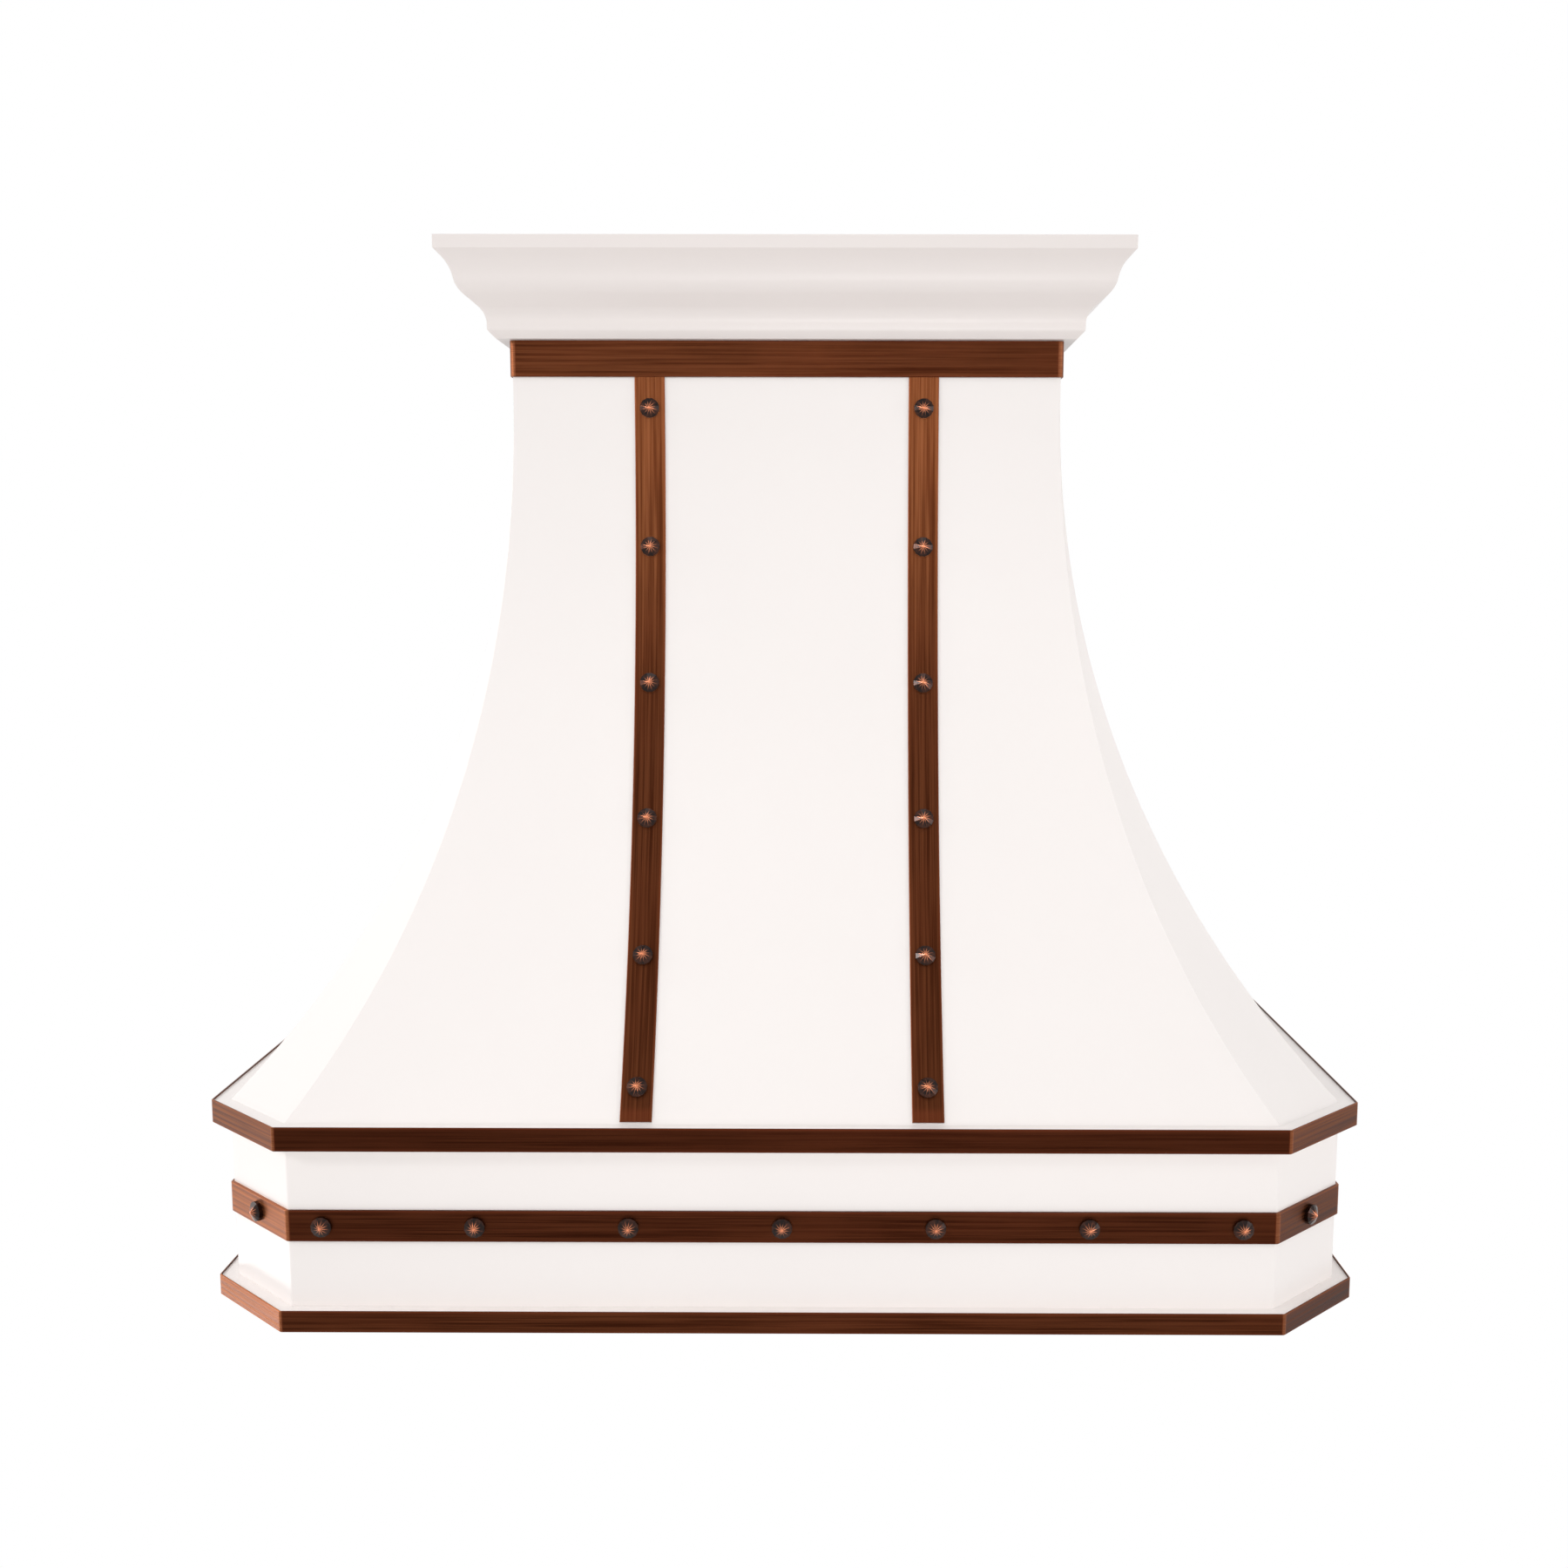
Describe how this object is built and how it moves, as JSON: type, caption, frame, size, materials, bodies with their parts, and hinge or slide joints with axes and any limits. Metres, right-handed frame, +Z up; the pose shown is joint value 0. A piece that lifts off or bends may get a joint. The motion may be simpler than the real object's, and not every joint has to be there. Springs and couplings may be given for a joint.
{
  "type": "range hood",
  "caption": "Wall range hood with a flared body, octagonal apron between two ledges, riveted metal straps, crown moulding, baffle filters, blower and duct collar.",
  "frame": {"origin": "On the wall plane, at the middle of the width, level with the bottom rim.", "axes": "+X to the right seen from the room, +Y into the wall, +Z up."},
  "size_m": [0.9144, 0.5588, 0.8408],
  "materials": {
    "shell_paint": "white satin paint",
    "apron_paint": "white satin paint",
    "ledge_steel": "white satin paint",
    "crown_paint": "white satin paint",
    "band_copper": "dark oiled copper, brushed along its length",
    "strap_copper": "dark oiled copper, brushed along its length",
    "clavo_copper": "dark oiled copper with worn ridges",
    "galvanised": "galvanised sheet steel",
    "pin_steel": "ground steel",
    "motor_black": "black painted steel",
    "rubber": "black rubber",
    "gland_plastic": "black moulded plastic",
    "impeller_metal": "pressed aluminium sheet",
    "stainless": "brushed stainless steel",
    "filter_steel": "brushed stainless steel",
    "pull_wire": "polished steel wire",
    "lamp_metal": "satin steel trim",
    "lens": "frosted glass",
    "panel_plastic": "black moulded plastic",
    "button_plastic": "silver plastic"
  },
  "bodies": {
    "hood": {"front_panel": "shell_paint", "corner_panel_left": "shell_paint", "corner_panel_right": "shell_paint", "side_panel_left": "shell_paint", "side_panel_right": "shell_paint", "apron": "apron_paint", "lower_ledge": "ledge_steel", "lower_ledge_band": "band_copper", "upper_ledge": "ledge_steel", "upper_ledge_band": "band_copper", "apron_strap": "band_copper", "apron_clavos": "clavo_copper", "strap_left": "strap_copper", "strap_right": "strap_copper", "strap_clavos_left": "clavo_copper", "strap_clavos_right": "clavo_copper", "neck_band": "band_copper", "crown_front": "crown_paint", "crown_return_left": "crown_paint", "crown_return_right": "crown_paint", "deck": "galvanised", "deck_bracket": "galvanised", "wall_rail": "galvanised", "foot_rail": "galvanised", "duct_collar": "galvanised", "damper_pin": "pin_steel", "blower_scroll": "galvanised", "blower_transition": "galvanised", "blower_motor": "motor_black", "motor_mounts": "rubber", "junction_box": "galvanised", "junction_cover": "galvanised", "cable_gland": "gland_plastic", "liner_front": "stainless", "liner_rear": "stainless", "liner_side_left": "stainless", "liner_side_right": "stainless", "filter_dividers": "stainless", "lamps": "lamp_metal", "lamp_lenses": "lens", "control_box": "panel_plastic", "grease_rails": "stainless"},
    "impeller": {"impeller": "impeller_metal", "motor_shaft": "pin_steel"},
    "damper_front": {"damper_flap_front": "galvanised"},
    "damper_rear": {"damper_flap_rear": "galvanised"},
    "grease_cup": {"grease_cup": "stainless"},
    "filter_left": {"filter_frame_left": "filter_steel", "filter_baffles_left": "filter_steel"},
    "pull_left": {"filter_pull_left": "pull_wire"},
    "filter_middle": {"filter_frame_middle": "filter_steel", "filter_baffles_middle": "filter_steel"},
    "pull_middle": {"filter_pull_middle": "pull_wire"},
    "filter_right": {"filter_frame_right": "filter_steel", "filter_baffles_right": "filter_steel"},
    "pull_right": {"filter_pull_right": "pull_wire"},
    "button_1": {"button_1": "button_plastic"},
    "button_2": {"button_2": "button_plastic"},
    "button_3": {"button_3": "button_plastic"},
    "button_4": {"button_4": "button_plastic"}
  },
  "joints": [
    {"name": "impeller_spin", "type": "hinge", "parent": "hood", "child": "impeller", "pos_m": [0, -0.24, 0.5358], "axis": [1, 0, 0], "continuous": true},
    {"name": "damper_front_swing", "type": "hinge", "parent": "hood", "child": "damper_front", "pos_m": [0, -0.142, 0.7603], "axis": [-1, 0, 0], "range_deg": [0, 75]},
    {"name": "damper_rear_swing", "type": "hinge", "parent": "hood", "child": "damper_rear", "pos_m": [0, -0.142, 0.7603], "axis": [1, 0, 0], "range_deg": [0, 75]},
    {"name": "grease_cup_slide", "type": "slide", "parent": "hood", "child": "grease_cup", "axis": [1, 0, 0], "range_m": [0, 0.07]},
    {"name": "filter_left_swing", "type": "hinge", "parent": "hood", "child": "filter_left", "pos_m": [-0.27, -0.0465, 0.0428], "axis": [1, 0, 0], "range_deg": [0, 60]},
    {"name": "pull_left_swing", "type": "hinge", "parent": "filter_left", "child": "pull_left", "pos_m": [-0.27, -0.4065, 0.0353], "axis": [-1, 0, 0], "range_deg": [0, 85]},
    {"name": "filter_middle_swing", "type": "hinge", "parent": "hood", "child": "filter_middle", "pos_m": [0, -0.0465, 0.0428], "axis": [1, 0, 0], "range_deg": [0, 60]},
    {"name": "pull_middle_swing", "type": "hinge", "parent": "filter_middle", "child": "pull_middle", "pos_m": [0, -0.4065, 0.0353], "axis": [-1, 0, 0], "range_deg": [0, 85]},
    {"name": "filter_right_swing", "type": "hinge", "parent": "hood", "child": "filter_right", "pos_m": [0.27, -0.0465, 0.0428], "axis": [1, 0, 0], "range_deg": [0, 60]},
    {"name": "pull_right_swing", "type": "hinge", "parent": "filter_right", "child": "pull_right", "pos_m": [0.27, -0.4065, 0.0353], "axis": [-1, 0, 0], "range_deg": [0, 85]},
    {"name": "button_1_press", "type": "slide", "parent": "hood", "child": "button_1", "axis": [0, 0, 1], "range_m": [0, 0.0025], "stiffness_N_per_m": 200, "springref_m": -0.002},
    {"name": "button_2_press", "type": "slide", "parent": "hood", "child": "button_2", "axis": [0, 0, 1], "range_m": [0, 0.0025], "stiffness_N_per_m": 200, "springref_m": -0.002},
    {"name": "button_3_press", "type": "slide", "parent": "hood", "child": "button_3", "axis": [0, 0, 1], "range_m": [0, 0.0025], "stiffness_N_per_m": 200, "springref_m": -0.002},
    {"name": "button_4_press", "type": "slide", "parent": "hood", "child": "button_4", "axis": [0, 0, 1], "range_m": [0, 0.0025], "stiffness_N_per_m": 200, "springref_m": -0.002}
  ]
}
